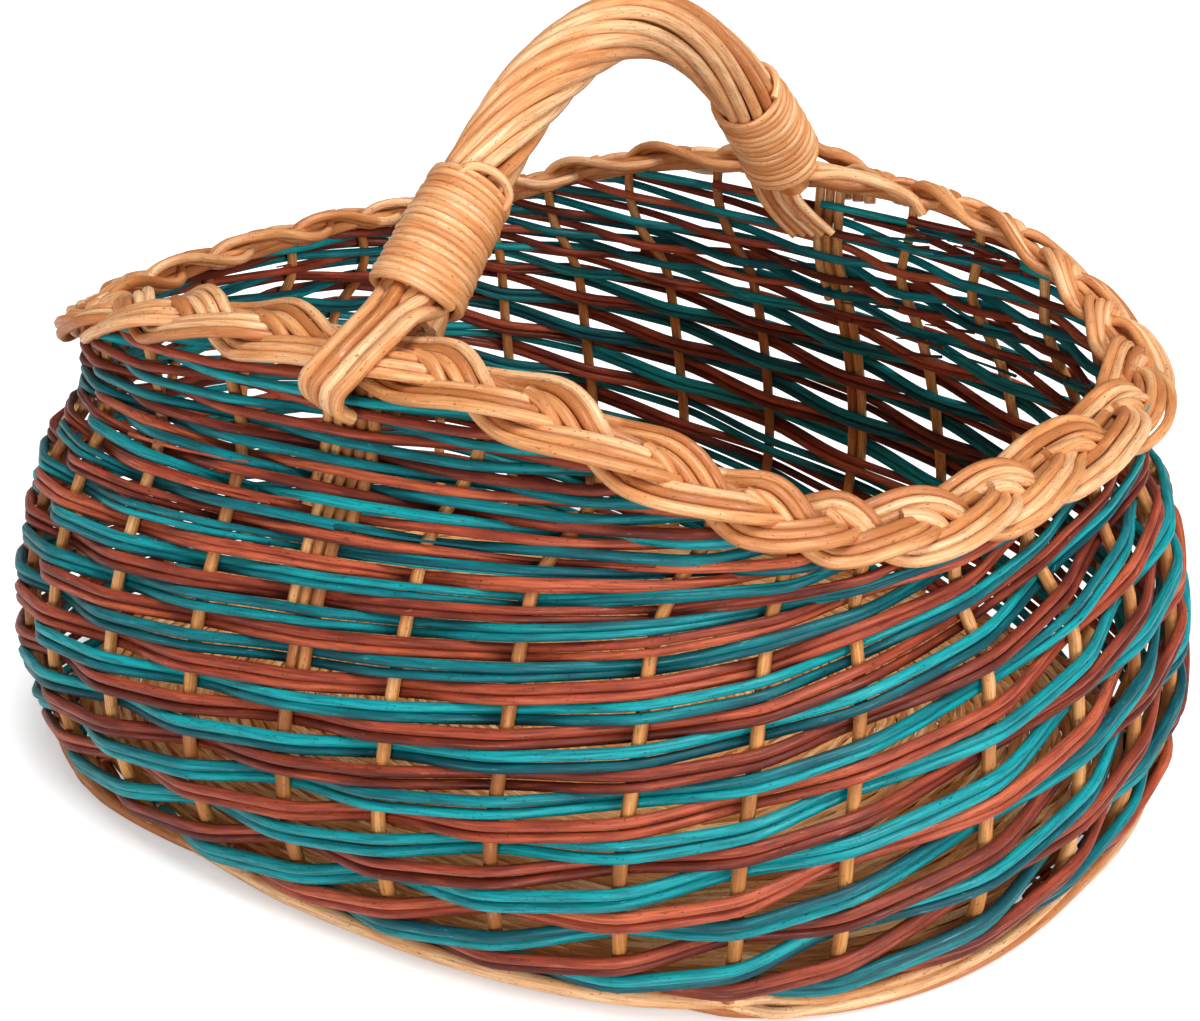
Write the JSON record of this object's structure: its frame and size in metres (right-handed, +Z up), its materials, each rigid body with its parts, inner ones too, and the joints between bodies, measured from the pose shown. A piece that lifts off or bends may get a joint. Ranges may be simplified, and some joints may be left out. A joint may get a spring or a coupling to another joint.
{
  "type": "shopping basket",
  "caption": "Oval woven willow basket with a flared wall, a plaited border that dips at both ends, and a fixed roped bow handle across its middle.",
  "frame": {"origin": "middle of the bounding box, at the floor the basket stands on", "axes": "+X along the oval's length, +Y along the handle's span, +Z up"},
  "size_m": [0.4744, 0.4252, 0.3128],
  "materials": {
    "foot_hoop": "peeled willow, dull",
    "natural_willow": "peeled willow, satin",
    "pale_willow": "peeled willow, satin",
    "dyed_teal_willow": "dyed willow, satin",
    "dyed_brown_willow": "dyed willow, satin"
  },
  "bodies": {
    "root": {"border": "pale_willow", "far_binding": "natural_willow", "far_foot_rod_1": "pale_willow", "far_foot_rod_2": "pale_willow", "far_foot_rod_3": "pale_willow", "far_foot_rod_4": "pale_willow", "far_foot_rod_5": "pale_willow", "far_liner_rod": "natural_willow", "floor_weave": "natural_willow", "foot_rim": "foot_hoop", "handle_core": "natural_willow", "handle_roping": "pale_willow", "long_base_stick_1": "natural_willow", "long_base_stick_2": "natural_willow", "long_base_stick_3": "natural_willow", "lower_siding": "dyed_teal_willow", "near_binding": "natural_willow", "near_foot_rod_1": "pale_willow", "near_foot_rod_2": "pale_willow", "near_foot_rod_3": "pale_willow", "near_foot_rod_4": "pale_willow", "near_liner_rod": "natural_willow", "short_base_stick_1": "natural_willow", "short_base_stick_2": "natural_willow", "short_base_stick_3": "natural_willow", "short_base_stick_4": "natural_willow", "short_base_stick_5": "natural_willow", "short_base_stick_6": "natural_willow", "short_base_stick_7": "natural_willow", "stake_01": "natural_willow", "stake_02": "natural_willow", "stake_03": "natural_willow", "stake_04": "natural_willow", "stake_05": "natural_willow", "stake_06": "natural_willow", "stake_07": "natural_willow", "stake_08": "natural_willow", "stake_09": "natural_willow", "stake_10": "natural_willow", "stake_11": "natural_willow", "stake_12": "natural_willow", "stake_13": "natural_willow", "stake_14": "natural_willow", "stake_15": "natural_willow", "stake_16": "natural_willow", "stake_17": "natural_willow", "stake_18": "natural_willow", "stake_19": "natural_willow", "stake_20": "natural_willow", "stake_21": "natural_willow", "stake_22": "natural_willow", "stake_23": "natural_willow", "stake_24": "natural_willow", "stake_25": "natural_willow", "stake_26": "natural_willow", "stake_27": "natural_willow", "stake_28": "natural_willow", "stake_29": "natural_willow", "stake_30": "natural_willow", "upper_siding": "dyed_brown_willow"}
  },
  "joints": []
}
